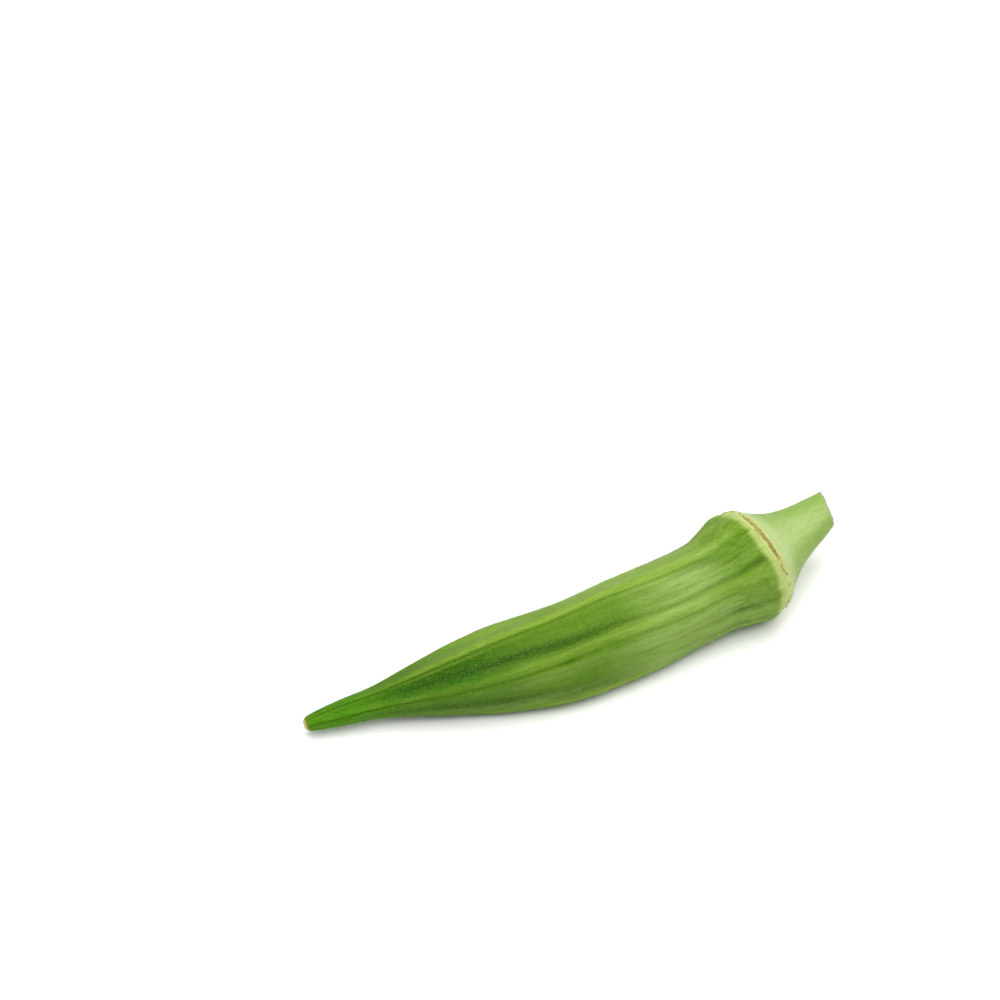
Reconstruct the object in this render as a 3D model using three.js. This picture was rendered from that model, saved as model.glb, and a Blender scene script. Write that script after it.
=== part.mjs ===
// An okra pod: a five-ridged green capsule that tapers to a blunt dry tip, the pale cap and cut
// stalk that it grew on, and the thin dry scar round the joint where the sepals fell off.
// The pod lies on its side on the plane z = 0. +X runs from the tip to the cut stalk, +Z is up,
// and the origin is on the plane, under the middle of the pod's bounding box.
import * as THREE from 'three';

// Driving dimensions in millimetres and degrees. Places along the pod are distances from the tip,
// measured along the pod's curved centre line.
const POD_LENGTH = 85;
const SCAR_START = 85.3;
const SCAR_END = 86.4;
const CAP_SHELF = 86.7;
const STALK_END = 104;
const TIP_POINT = { x: -51.7, y: 4.5, z: 2.8 };

// Course of the centre line: [distance, angle]. Heading turns it about +Z and pitch lifts it.
const HEADING = [[0, -8], [24, -10], [38, -10], [54, 4], [72, 5], [88, 11], [104, 16]];
const PITCH = [[0, 8], [20, 7], [42, 3], [56, 1], [72, 4], [84, 7], [104, 7]];

// Mean radius: [distance, radius]. The capsule swells from the tip to the belly, draws in a little
// at the neck and spreads to the shoulder. The cap falls from its shelf to the cut stalk.
const POD_RADIUS = [
  [0, 0.8], [0.3, 1.1], [1, 1.4], [6, 2.1], [12, 2.6], [19, 4], [26, 5.5], [33, 6.8], [40, 7.6],
  [48, 8.1], [60, 8.5], [70, 8.3], [76, 8.4], [81, 9.6], [83.5, 10.3], [84.5, 10.3], [85, 9.9],
];
const CAP_RADIUS = [[86.7, 9.8], [88.5, 8.3], [91, 6.7], [94, 5.3], [98, 4.3], [104, 3.1]];
const BOSS_RADIUS = 8.8;
const SHELF_LIP = 0.1;
const SCAR_INNER = 9.1;
const SCAR_OUTER = 9.9;
const SCAR_BEVEL = 0.25;
const SCAR_WAVE = 0.07;

// The scar's uneven rim: [waves round it, share of SCAR_WAVE, phase].
const SCAR_WAVES = [[5, 1, 0], [11, 0.6, 1]];

// Five ridges. Their angles are taken round the section from straight up, and the twist turns
// all of them together along the pod.
const RIDGE_ANGLES = [0, 52, 136, 218, 289, 360];
const TWIST = [[0, 6], [18, 8], [31, 5], [41, -2], [52, -7], [66, -2], [86, -1], [104, 0]];
const RIDGE_HEIGHT = [
  [0, 0], [4, 0.05], [13, 0.145], [28, 0.185], [47, 0.17], [62, 0.135], [73, 0.095],
  [81, 0.055], [86, 0.025], [93, 0.05], [104, 0.04],
];
const RIDGE_SHARE_NARROW = 0.62;
const RIDGE_NARROW_WIDTH = 0.42;
const RIDGE_MEAN = 0.36;

// A fine groove runs beside each ridge and fades towards the shoulder.
const GROOVE_PLACE = 0.08;
const GROOVE_WIDTH = 0.04;
const GROOVE_DEPTH = [[0, 0], [4, 0.05], [14, 0.25], [28, 0.35], [47, 0.32], [62, 0.15], [79, 0]];

// The stalk is cut on a slant, with softer pith sunk in the middle. The skew is how far the cut
// reaches past the stalk's end on its long side, which lies at an angle from straight up.
const CUT_SKEW = 2;
const CUT_SIDE = 240;
const PITH_SINK = 0.5;
const PITH_RADIUS = 1.3;
const PITH_SLOPE = 0.3;
const CUT_BEVEL = 0.3;

// Faceting: columns inside one fifth of the section, and rows along each solid.
const POD_COLUMNS = [0, 0.025, 0.05, 0.08, 0.11, 0.16, 0.28, 0.46, 0.66, 0.82, 0.92];
const CAP_COLUMNS = [0, 0.1, 0.22, 0.36, 0.5, 0.64, 0.78, 0.9];
const SCAR_COLUMNS = 70;
const POD_ROWS = 80;
const CAP_ROWS = 26;
const ROW_CROWDING = 0.6;
const AXIS_STEP = 0.25;
const SPARE_STEPS = 4;

// Smooth curve through [place, value] knots that never swings past them: a cubic between
// neighbours whose slope at a knot is the harmonic mean of the slopes on its two sides.
function knotSlopes(knots) {
  const rise = [];
  for (let i = 0; i + 1 < knots.length; i += 1) {
    rise.push((knots[i + 1][1] - knots[i][1]) / (knots[i + 1][0] - knots[i][0]));
  }
  const slopes = [rise[0]];
  for (let i = 1; i < rise.length; i += 1) {
    const turns = rise[i - 1] * rise[i] <= 0;
    slopes.push(turns ? 0 : (2 * rise[i - 1] * rise[i]) / (rise[i - 1] + rise[i]));
  }
  slopes.push(rise[rise.length - 1]);
  return slopes;
}

function smoothCurve(knots) {
  const slopes = knotSlopes(knots);
  return (place) => {
    const at = THREE.MathUtils.clamp(place, knots[0][0], knots[knots.length - 1][0]);
    let i = 0;
    while (i + 2 < knots.length && at > knots[i + 1][0]) {
      i += 1;
    }
    const span = knots[i + 1][0] - knots[i][0];
    const t = (at - knots[i][0]) / span;
    const fromHere = (1 + 2 * t) * (1 - t) ** 2 * knots[i][1] + t * (1 - t) ** 2 * span * slopes[i];
    const fromNext = t * t * (3 - 2 * t) * knots[i + 1][1] - t * t * (1 - t) * span * slopes[i + 1];
    return fromHere + fromNext;
  };
}

const heading = smoothCurve(HEADING);
const pitch = smoothCurve(PITCH);
const podRadius = smoothCurve(POD_RADIUS);
const capRadius = smoothCurve(CAP_RADIUS);
const twist = smoothCurve(TWIST);
const ridgeHeight = smoothCurve(RIDGE_HEIGHT);
const grooveDepth = smoothCurve(GROOVE_DEPTH);

// Unit direction of the centre line at a distance from the tip.
function axisDirection(along) {
  const turn = THREE.MathUtils.degToRad(heading(along));
  const lift = THREE.MathUtils.degToRad(pitch(along));
  const level = Math.cos(lift);
  return new THREE.Vector3(level * Math.cos(turn), level * Math.sin(turn), Math.sin(lift));
}

// Centre line as points at even steps, each one step further along the mean direction.
function traceAxis() {
  const points = [new THREE.Vector3(TIP_POINT.x, TIP_POINT.y, TIP_POINT.z)];
  const steps = Math.ceil(STALK_END / AXIS_STEP) + SPARE_STEPS;
  for (let i = 0; i < steps; i += 1) {
    const middle = axisDirection((i + 0.5) * AXIS_STEP);
    points.push(points[i].clone().addScaledVector(middle, AXIS_STEP));
  }
  return points;
}

const axisPoints = traceAxis();

function axisPoint(along) {
  const i = Math.min(Math.floor(along / AXIS_STEP), axisPoints.length - 2);
  const extra = along - i * AXIS_STEP;
  return axisPoints[i].clone().addScaledVector(axisDirection(along), extra);
}

// Point at a radius and an angle round the centre line, kept on or above the resting plane.
// The angle starts straight up and turns towards -Y.
function sectionPoint(along, angle, radius) {
  const direction = axisDirection(along);
  const side = direction.clone().cross(new THREE.Vector3(0, 0, 1)).normalize();
  const top = side.clone().cross(direction);
  const point = axisPoint(along);
  point.addScaledVector(top, radius * Math.cos(angle));
  point.addScaledVector(side, radius * Math.sin(angle));
  point.z = Math.max(point.z, 0);
  return point;
}

// A column is a ridge number plus the fraction of the way to the next ridge.
function columnAngle(column, along) {
  const ridge = Math.floor(column);
  const span = RIDGE_ANGLES[ridge + 1] - RIDGE_ANGLES[ridge];
  const angle = RIDGE_ANGLES[ridge] + span * (column - ridge) + twist(along);
  return THREE.MathUtils.degToRad(angle);
}

function ridgedRadius(mean, column, along) {
  const across = column - Math.floor(column);
  const offCrest = 2 * Math.min(across, 1 - across);
  const narrow = Math.exp(-((offCrest / RIDGE_NARROW_WIDTH) ** 2));
  const broad = 0.5 + 0.5 * Math.cos(Math.PI * offCrest);
  const lobe = RIDGE_SHARE_NARROW * narrow + (1 - RIDGE_SHARE_NARROW) * broad - RIDGE_MEAN;
  return mean * (1 + ridgeHeight(along) * lobe);
}

function grooveAt(column, along) {
  const across = column - Math.floor(column);
  return grooveDepth(along) * Math.exp(-(((across - GROOVE_PLACE) / GROOVE_WIDTH) ** 2));
}

// Closed skin over rings of points that all have the same number of points. Each end is closed
// by a fan to its own centre point.
function skinOverRings(rings, firstCentre, lastCentre) {
  const count = rings[0].length;
  const positions = [];
  rings.forEach((ring) => ring.forEach((point) => positions.push(point.x, point.y, point.z)));
  const first = positions.length / 3;
  positions.push(firstCentre.x, firstCentre.y, firstCentre.z);
  positions.push(lastCentre.x, lastCentre.y, lastCentre.z);
  const faces = [];
  for (let row = 0; row + 1 < rings.length; row += 1) {
    for (let i = 0; i < count; i += 1) {
      const here = row * count + i;
      const next = row * count + ((i + 1) % count);
      faces.push(here, next, next + count);
      faces.push(here, next + count, here + count);
    }
  }
  const lastRow = (rings.length - 1) * count;
  for (let i = 0; i < count; i += 1) {
    const next = (i + 1) % count;
    faces.push(first, next, i);
    faces.push(first + 1, lastRow + i, lastRow + next);
  }
  return meshGeometry(positions, faces);
}

function meshGeometry(positions, faces) {
  const geometry = new THREE.BufferGeometry();
  geometry.setAttribute('position', new THREE.Float32BufferAttribute(positions, 3));
  geometry.setIndex(faces);
  geometry.computeVertexNormals();
  return geometry;
}

function columnsRound(fractions) {
  const columns = [];
  for (let ridge = 0; ridge + 1 < RIDGE_ANGLES.length; ridge += 1) {
    fractions.forEach((fraction) => columns.push(ridge + fraction));
  }
  return columns;
}

// Row places from start to end, drawn closer together towards both ends.
function rowPlaces(start, end, rows) {
  const places = [];
  for (let i = 0; i <= rows; i += 1) {
    const t = i / rows;
    const eased = t - (ROW_CROWDING * Math.sin(2 * Math.PI * t)) / (2 * Math.PI);
    places.push(start + (end - start) * eased);
  }
  return places;
}

function podGeometry() {
  const columns = columnsRound(POD_COLUMNS);
  const rings = rowPlaces(0, POD_LENGTH, POD_ROWS).map((along) => columns.map((column) => {
    const radius = ridgedRadius(podRadius(along), column, along) - grooveAt(column, along);
    return sectionPoint(along, columnAngle(column, along), radius);
  }));
  return skinOverRings(rings, axisPoint(0), axisPoint(POD_LENGTH));
}

// The cap starts as a hidden boss inside the scar, steps out to its shelf and flares down to the
// stalk, which ends in a bevelled, slanting cut round the sunk pith. The slant grows from nothing
// at the shelf, and on the cut it is in proportion to the radius, so that the cut is flat.
function capGeometry() {
  const columns = columnsRound(CAP_COLUMNS);
  const longSide = THREE.MathUtils.degToRad(CUT_SIDE);
  const ringAt = (along, radiusOf, slant) => columns.map((column) => {
    const angle = columnAngle(column, along);
    const reach = CUT_SKEW * slant * Math.cos(angle - longSide);
    return sectionPoint(along + reach, angle, radiusOf(column));
  });
  const rings = [];
  rings.push(ringAt(SCAR_START, () => BOSS_RADIUS, 0));
  rings.push(ringAt(CAP_SHELF - SHELF_LIP, () => BOSS_RADIUS, 0));
  rowPlaces(CAP_SHELF, STALK_END - CUT_BEVEL, CAP_ROWS).forEach((along) => {
    const share = (along - CAP_SHELF) / (STALK_END - CAP_SHELF);
    const skin = (column) => ridgedRadius(capRadius(along), column, along);
    rings.push(ringAt(along, skin, share ** 2));
  });
  const endRadius = capRadius(STALK_END);
  const cutRadius = endRadius - CUT_BEVEL;
  const slopeRadius = PITH_RADIUS + PITH_SLOPE;
  const cutEdge = (column) => ridgedRadius(cutRadius, column, STALK_END);
  rings.push(ringAt(STALK_END, cutEdge, cutRadius / endRadius));
  rings.push(ringAt(STALK_END, () => slopeRadius, slopeRadius / endRadius));
  rings.push(ringAt(STALK_END - PITH_SINK, () => PITH_RADIUS, PITH_RADIUS / endRadius));
  return skinOverRings(rings, axisPoint(SCAR_START), axisPoint(STALK_END - PITH_SINK));
}

// The scar is a closed band: a bevelled section carried once round, with a gently uneven rim.
function scarGeometry() {
  const middle = (SCAR_START + SCAR_END) / 2;
  const section = [
    [SCAR_START, SCAR_INNER, 0],
    [SCAR_START, SCAR_OUTER - SCAR_BEVEL, 0.5],
    [middle, SCAR_OUTER, 1],
    [SCAR_END, SCAR_OUTER - SCAR_BEVEL, 0.5],
    [SCAR_END, SCAR_INNER, 0],
  ];
  const positions = [];
  const faces = [];
  for (let i = 0; i < SCAR_COLUMNS; i += 1) {
    const angle = (2 * Math.PI * i) / SCAR_COLUMNS;
    let wave = 0;
    SCAR_WAVES.forEach(([count, share, phase]) => {
      wave += SCAR_WAVE * share * Math.sin(count * angle + phase);
    });
    section.forEach(([along, radius, share]) => {
      const point = sectionPoint(along, angle, radius + wave * share);
      positions.push(point.x, point.y, point.z);
    });
    for (let k = 0; k < section.length; k += 1) {
      const next = (i + 1) % SCAR_COLUMNS;
      const here = i * section.length;
      const there = next * section.length;
      const up = (k + 1) % section.length;
      faces.push(here + k, there + k, there + up);
      faces.push(here + k, there + up, here + up);
    }
  }
  return meshGeometry(positions, faces);
}

function addPiece(group, name, geometry, look) {
  const mesh = new THREE.Mesh(geometry, new THREE.MeshStandardMaterial({ metalness: 0, ...look }));
  mesh.name = name;
  group.add(mesh);
}

const group = new THREE.Group();
addPiece(group, 'pod', podGeometry(), { color: 0x6f9c38, roughness: 0.55 });
addPiece(group, 'calyx_scar', scarGeometry(), { color: 0xb79a68, roughness: 0.9 });
addPiece(group, 'cap_stem', capGeometry(), { color: 0x9abd66, roughness: 0.6 });

export default group;
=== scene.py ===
"""Grows the looks of one okra pod round its CAD solids.

The pod lies on its side on the plane z = 0, with +X from the dry tip to the cut stalk and +Z up.
Every shape is worked out in millimetres on an unrolled skin: a place is a distance along the
pod's curved centre line from the tip, and a column, which counts the ridges round the section
(column 1.25 is a quarter of the way from ridge 1 to ridge 2).
"""

import bpy
import numpy as np
from bpy.props import FloatProperty, FloatVectorProperty, IntProperty, PointerProperty
from mathutils import Matrix, Vector


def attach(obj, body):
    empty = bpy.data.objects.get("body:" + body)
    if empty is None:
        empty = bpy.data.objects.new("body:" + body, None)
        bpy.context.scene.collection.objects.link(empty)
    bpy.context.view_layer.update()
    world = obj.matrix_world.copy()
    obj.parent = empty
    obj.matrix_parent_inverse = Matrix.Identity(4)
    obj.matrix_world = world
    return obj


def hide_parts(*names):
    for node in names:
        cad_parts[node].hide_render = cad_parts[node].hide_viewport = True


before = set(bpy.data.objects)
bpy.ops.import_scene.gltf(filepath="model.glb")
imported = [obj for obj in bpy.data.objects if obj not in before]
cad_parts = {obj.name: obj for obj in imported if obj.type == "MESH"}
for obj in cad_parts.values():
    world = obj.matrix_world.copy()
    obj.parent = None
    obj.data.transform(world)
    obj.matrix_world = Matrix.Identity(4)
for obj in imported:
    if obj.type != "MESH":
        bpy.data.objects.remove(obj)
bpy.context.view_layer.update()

bl_info = {
    "name": "Okra Pod",
    "version": (1, 0, 0),
    "blender": (4, 5, 0),
    "location": "3D View > Sidebar > Okra",
    "description": "Grows the skin, cap, scar and fuzz of an okra pod round its CAD solids",
    "category": "Add Mesh",
}

MM = 0.001
TURN = 2 * np.pi
BODY = "root"

# ---- The pod's form, in millimetres and degrees, as the CAD solids have it ----

POD_LENGTH = 85.0
SCAR_START = 85.3
SCAR_END = 86.4
CAP_SHELF = 86.7
STALK_END = 104.0
TIP_POINT = (-51.7, 4.5, 2.8)

HEADING = ((0, -8), (24, -10), (38, -10), (54, 4), (72, 5), (88, 11), (104, 16))
PITCH = ((0, 8), (20, 7), (42, 3), (56, 1), (72, 4), (84, 7), (104, 7))
POD_RADIUS = (
    (0, 0.8), (0.3, 1.1), (1, 1.4), (6, 2.1), (12, 2.6), (19, 4), (26, 5.5), (33, 6.8), (40, 7.6),
    (48, 8.1), (60, 8.5), (70, 8.3), (76, 8.4), (81, 9.6), (83.5, 10.3), (84.5, 10.3), (85, 9.9),
)
CAP_RADIUS = ((86.7, 9.8), (88.5, 8.3), (91, 6.7), (94, 5.3), (98, 4.3), (104, 3.1))
RIDGE_ANGLES = (0, 52, 136, 218, 289, 360)
TWIST = ((0, 6), (18, 8), (31, 5), (41, -2), (52, -7), (66, -2), (86, -1), (104, 0))
RIDGE_HEIGHT = (
    (0, 0), (4, 0.05), (13, 0.145), (28, 0.185), (47, 0.17), (62, 0.135), (73, 0.095),
    (81, 0.055), (86, 0.025), (93, 0.05), (104, 0.04),
)
RIDGE_SHARE_NARROW = 0.62
RIDGE_NARROW_WIDTH = 0.42
RIDGE_MEAN = 0.36
GROOVE_PLACE = 0.08
GROOVE_WIDTH = 0.04
GROOVE_DEPTH = ((0, 0), (4, 0.05), (14, 0.25), (28, 0.35), (47, 0.32), (62, 0.15), (79, 0))
CUT_SKEW = 2.0
CUT_SIDE = 240.0
AXIS_STEP = 0.25
RIDGES = 5

# ---- Fine relief that the skin adds to the solids, in millimetres ----

RIB_HEIGHT = ((0, 0), (30, 0.02), (55, 0.045), (70, 0.08), (80, 0.1), (84, 0.04), (85, 0))
RIB_COUNT = 58
LUMP_HEIGHT = ((0, 0.01), (15, 0.05), (30, 0.1), (75, 0.1), (84, 0.03), (85, 0))
HOLLOW_DEPTH = 0.22
HOLLOW_PLACE = 82.4
HOLLOW_LENGTH = 1.8
WRINKLE_HEIGHT = 0.07
WRINKLE_PLACE = 0.8
WRINKLE_LENGTH = 0.9
CAP_RIB_HEIGHT = 0.055
CAP_LUMP_HEIGHT = 0.05
# Painted valley shade: where a dark streak runs across the valley between two ridges, and how strong
# it is along the pod.
VALLEY_SHADE_PLACE = ((0, 0.45), (24, 0.5), (37, 0.6), (48, 0.72), (62, 0.77), (85, 0.76))
VALLEY_SHADE_STRENGTH = ((0, 0), (8, 0.1), (20, 0.8), (44, 1), (53, 0.7), (62, 0.35), (72, 0.5), (85, 0.6))


# ---- Curves and fields ----


def smooth_curve(knots):
    """Function of place through (place, value) knots: between two knots a cubic, whose slope at
    a knot is the harmonic mean of the straight slopes on its two sides, or 0 at a turning point."""
    place, value = np.array(knots, float).T
    rise = np.diff(value) / np.diff(place)
    before, after = rise[:-1], rise[1:]
    level = before * after <= 0
    between = np.where(level, 0, 2 * before * after / np.where(level, 1, before + after))
    slope = np.concatenate([rise[:1], between, rise[-1:]])

    def at(where):
        where = np.clip(where, place[0], place[-1])
        i = np.clip(np.searchsorted(place, where) - 1, 0, len(place) - 2)
        span = place[i + 1] - place[i]
        t = (where - place[i]) / span
        here = (1 + 2 * t) * (1 - t) ** 2 * value[i] + t * (1 - t) ** 2 * span * slope[i]
        there = t * t * (3 - 2 * t) * value[i + 1] - t * t * (1 - t) * span * slope[i + 1]
        return here + there

    return at


def smooth_step(low, high, value):
    """0 below low, 1 above high, and 3 t^2 - 2 t^3 of the share t in between."""
    t = np.clip((value - low) / (high - low), 0, 1)
    return t * t * (3 - 2 * t)


def bump(value, middle, width):
    """Bell curve: e to the power of minus the square of (value - middle) / width."""
    return np.exp(-(((value - middle) / width) ** 2))


def skin_noise(seed, cells_along, cells_round):
    """Random field from -1 to 1 on the unrolled skin, which joins up round the section. Random
    numbers stand on a lattice, and a place blends its four neighbours by smooth steps."""
    table = np.random.default_rng(seed).uniform(-1, 1, (cells_along + 1, cells_round))

    def at(share, turn):
        x = np.clip(share, 0, 1) * cells_along
        y = (turn % 1) * cells_round
        i = np.minimum(x.astype(int), cells_along - 1)
        j = np.minimum(y.astype(int), cells_round - 1)
        u = smooth_step(0, 1, x - i)
        v = smooth_step(0, 1, y - j)
        k = (j + 1) % cells_round
        near = table[i, j] * (1 - v) + table[i, k] * v
        far = table[i + 1, j] * (1 - v) + table[i + 1, k] * v
        return near * (1 - u) + far * u

    return at


heading, pitch, twist = map(smooth_curve, (HEADING, PITCH, TWIST))
pod_radius, cap_radius, ridge_height = map(smooth_curve, (POD_RADIUS, CAP_RADIUS, RIDGE_HEIGHT))
groove_depth, rib_height, lump_height = map(smooth_curve, (GROOVE_DEPTH, RIB_HEIGHT, LUMP_HEIGHT))
valley_shade_place, valley_shade_strength = map(smooth_curve, (VALLEY_SHADE_PLACE, VALLEY_SHADE_STRENGTH))


def unit(vectors):
    """Vectors of the same direction and of length 1."""
    return vectors / np.linalg.norm(vectors, axis=-1, keepdims=True)


def degrees_off(angle, middle):
    """Turn in degrees, from -180 to 180, from a middle in degrees to an angle in radians."""
    return (np.degrees(angle) - middle + 180) % 360 - 180


def axis_direction(along):
    """Unit vector of the centre line: heading turns it about +Z and pitch lifts it."""
    turn, lift = np.radians(heading(along)), np.radians(pitch(along))
    level = np.cos(lift)
    return np.stack([level * np.cos(turn), level * np.sin(turn), np.sin(lift)], -1)


def trace_axis():
    """Points of the centre line, each one even step further along the direction between them."""
    middles = (np.arange(int(np.ceil(STALK_END / AXIS_STEP)) + 4) + 0.5) * AXIS_STEP
    steps = np.cumsum(axis_direction(middles) * AXIS_STEP, axis=0)
    return np.array(TIP_POINT) + np.vstack([np.zeros(3), steps])


AXIS_POINTS = trace_axis()


def axis_point(along):
    """Place on the centre line: the last traced point, and the rest of the way straight on."""
    i = np.minimum((along / AXIS_STEP).astype(int), len(AXIS_POINTS) - 2)
    return AXIS_POINTS[i] + axis_direction(along) * (along - i * AXIS_STEP)[..., None]


def section_point(along, angle, radius):
    """Point at a radius and an angle round the centre line, kept on or above the resting plane.
    The angle starts straight up and turns towards -Y."""
    direction = axis_direction(along)
    side = unit(np.cross(direction, [0.0, 0.0, 1.0]))
    top = np.cross(side, direction)
    out = top * np.cos(angle)[..., None] + side * np.sin(angle)[..., None]
    point = axis_point(along) + out * radius[..., None]
    point[..., 2] = np.maximum(point[..., 2], 0)
    return point


def column_angle(column, along):
    """Angle of a column: between its two ridges in proportion, and turned by the twist."""
    ridge = np.floor(column).astype(int) % RIDGES
    angles = np.array(RIDGE_ANGLES, float)
    angle = angles[ridge] + (angles[ridge + 1] - angles[ridge]) * (column - np.floor(column))
    return np.radians(angle + twist(along))


def off_crest(column):
    """0 on a ridge's crest and 1 half way to the next one."""
    across = column - np.floor(column)
    return 2 * np.minimum(across, 1 - across)


def ridged_radius(mean, column, along):
    """Mean radius, raised on the crests and lowered between them: a narrow bell and a broad
    cosine of the distance from the crest, less their average, times the ridge height."""
    off = off_crest(column)
    narrow = bump(off, 0, RIDGE_NARROW_WIDTH)
    broad = 0.5 + 0.5 * np.cos(np.pi * off)
    lobe = RIDGE_SHARE_NARROW * narrow + (1 - RIDGE_SHARE_NARROW) * broad - RIDGE_MEAN
    return mean * (1 + ridge_height(along) * lobe)


def by_facet(column, values):
    """One value for each facet between two ridges, going over to the next one's across the
    ridge by a smooth step."""
    facet = np.floor(column - 0.5).astype(int)
    share = smooth_step(0.25, 0.75, column - 0.5 - facet)
    values = np.array(values, float)
    return values[facet % RIDGES] * (1 - share) + values[(facet + 1) % RIDGES] * share


def groove_share(column):
    """1 in the line of the fine groove beside a ridge, fading on both sides as a bell curve."""
    return bump(column - np.floor(column), GROOVE_PLACE, GROOVE_WIDTH)


rib_noise = skin_noise(11, 9, RIB_COUNT)
fine_rib_noise = skin_noise(12, 14, 2 * RIB_COUNT)
lump_noise = skin_noise(13, 22, 14)
tip_noise = skin_noise(14, 60, 22)


def pod_skin_radius(along, column):
    """Radius of the capsule's skin: the ridged radius, less the groove, plus ribs that run
    lengthwise to the shoulder, soft lumps, a hollow between the ridges just before the rim, and
    wrinkles on the dry tip."""
    settings = bpy.context.scene.okra_pod
    share, turn = along / POD_LENGTH, column / RIDGES
    radius = ridged_radius(pod_radius(along), column, along)
    radius -= groove_depth(along) * groove_share(column) * settings.groove_gain
    ribs = 0.65 * rib_noise(share, turn) + 0.35 * fine_rib_noise(share, turn)
    radius += rib_height(along) * ribs * settings.rib_gain
    radius += lump_height(along) * lump_noise(share, turn)
    hollow = bump(along, HOLLOW_PLACE, HOLLOW_LENGTH) * smooth_step(0.35, 1, off_crest(column))
    radius -= HOLLOW_DEPTH * hollow
    wrinkle = bump(along, WRINKLE_PLACE, WRINKLE_LENGTH) * tip_noise(share, turn)
    return radius + WRINKLE_HEIGHT * wrinkle


def pod_skin_point(along, column):
    """Point of the capsule's skin for a distance along the pod and a column."""
    return section_point(along, column_angle(column, along), pod_skin_radius(along, column))


cap_rib_noise = skin_noise(21, 5, 44)
cap_lump_noise = skin_noise(22, 8, 12)


def cap_share(along):
    """0 at the cap's shelf and 1 at the cut."""
    return (along - CAP_SHELF) / (STALK_END - CAP_SHELF)


def cap_skin_radius(along, column):
    """Radius of the cap's skin: its faintly ridged radius with fine lengthwise ribs and lumps."""
    share, turn = cap_share(along), column / RIDGES
    radius = ridged_radius(cap_radius(along), column, along)
    radius += CAP_RIB_HEIGHT * cap_rib_noise(share, turn) * smooth_step(0, 0.12, share)
    return radius + CAP_LUMP_HEIGHT * cap_lump_noise(share, turn) * smooth_step(0, 0.1, share)


def cut_reach(along, angle):
    """How far a place moves along with the slanted cut, which grows with the square of its share
    of the cap and follows the cosine of the angle from the cut's longer side."""
    return CUT_SKEW * np.clip(cap_share(along), 0, 1) ** 2 * np.cos(angle - np.radians(CUT_SIDE))


def cap_skin_point(along, column):
    """Point of the cap's skin. Towards the stalk's end the section skews with the cut."""
    angle = column_angle(column, along)
    return section_point(along + cut_reach(along, angle), angle, cap_skin_radius(along, column))


# ---- Meshes ----

OWN_MAP = "OFBake"
OUTWARD = (0, 3, 2, 1)


def crowded(start, end, count, crowding):
    """Places from start to end, closer together towards both ends: the even share t, less
    crowding times sin(2 pi t) / (2 pi)."""
    t = np.linspace(0, 1, count)
    return start + (end - start) * (t - crowding * np.sin(2 * np.pi * t) / (2 * np.pi))


def ridge_columns(per_ridge, crowding):
    """Columns all the way round, closer together towards the crest of each ridge."""
    fractions = crowded(0, 1, per_ridge + 1, crowding)[:-1]
    return (np.arange(RIDGES)[:, None] + fractions).ravel()


def fill_mesh(name, points, *faces):
    """Object from points in millimetres and from arrays of faces, which list their corners."""
    points = (points * MM).astype(np.float32).ravel()
    sides = np.concatenate([np.full(face.size // face.shape[-1], face.shape[-1]) for face in faces])
    corners = np.concatenate([face.ravel() for face in faces])
    mesh = bpy.data.meshes.new(name)
    mesh.vertices.add(len(points) // 3)
    mesh.vertices.foreach_set("co", points)
    mesh.loops.add(len(corners))
    mesh.loops.foreach_set("vertex_index", corners.astype(np.int32))
    mesh.polygons.add(len(sides))
    mesh.polygons.foreach_set("loop_start", (np.cumsum(sides) - sides).astype(np.int32))
    mesh.update(calc_edges=True)
    mesh.polygons.foreach_set("use_smooth", np.ones(len(sides), bool))
    piece = bpy.data.objects.new(name, mesh)
    bpy.context.scene.collection.objects.link(piece)
    return piece


def bake_map(piece, *places):
    """Gives the piece a map with one place from 0 to 1 for each corner."""
    layer = piece.data.uv_layers.new(name=OWN_MAP)
    flat = np.concatenate([each.ravel() for each in places])
    layer.uv.foreach_set("vector", flat.astype(np.float32))


def quads_over(grid):
    """The four corner values of each quad between neighbouring rows and columns of a grid."""
    corners = (grid[:-1, :-1], grid[1:, :-1], grid[1:, 1:], grid[:-1, 1:])
    return np.stack(corners, -1).reshape(-1, 4)


def ring_quads(rows, columns, wrapped=((0, 0), (0, 1))):
    """Vertices of each quad over rows of points that join up round the section."""
    return quads_over(np.pad(np.arange(rows * columns).reshape(rows, columns), wrapped, "wrap"))


def quad_map(u, v):
    """Map places of each quad's corners, with u for the rows and v for the columns."""
    across, along = np.meshgrid(v, u)
    return np.stack([quads_over(along), quads_over(across)], -1)


def rings_mesh(name, rings):
    """Closed skin over rings of points, with a pole in the middle of each end. Its bake map
    runs along the rows in u and round the section in v."""
    rows, columns = rings.shape[:2]
    points = np.vstack([rings.reshape(-1, 3), rings[0].mean(0), rings[-1].mean(0)])
    quads = ring_quads(rows, columns)[:, OUTWARD]
    i = np.arange(columns)
    after = (i + 1) % columns
    first_pole = np.full(columns, rows * columns)
    last = (rows - 1) * columns
    start_fan = np.stack([first_pole, after, i], -1)
    end_fan = np.stack([first_pole + 1, last + i, last + after], -1)
    piece = fill_mesh(name, points, quads, start_fan, end_fan)
    quads_map = quad_map((np.arange(rows) + 0.5) / rows, np.arange(columns + 1) / columns)
    maps = [quads_map[:, OUTWARD]]
    edge = 0.5 / rows
    for u, steps in (((0, edge, edge), (0.5, 1, 0)), ((1, 1 - edge, 1 - edge), (0.5, 0, 1))):
        v = (i[:, None] + steps) / columns
        maps.append(np.stack([np.broadcast_to(u, v.shape), v], -1))
    bake_map(piece, *maps)
    return piece


def band_mesh(name, rings):
    """Closed band: rings of points across it, joined all the way round."""
    around, across = rings.shape[:2]
    piece = fill_mesh(name, rings, ring_quads(around, across, (0, 1))[:, OUTWARD])
    places = quad_map(np.arange(around + 1) / around, np.arange(across + 1) / across)
    bake_map(piece, places[:, OUTWARD])
    return piece


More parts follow.
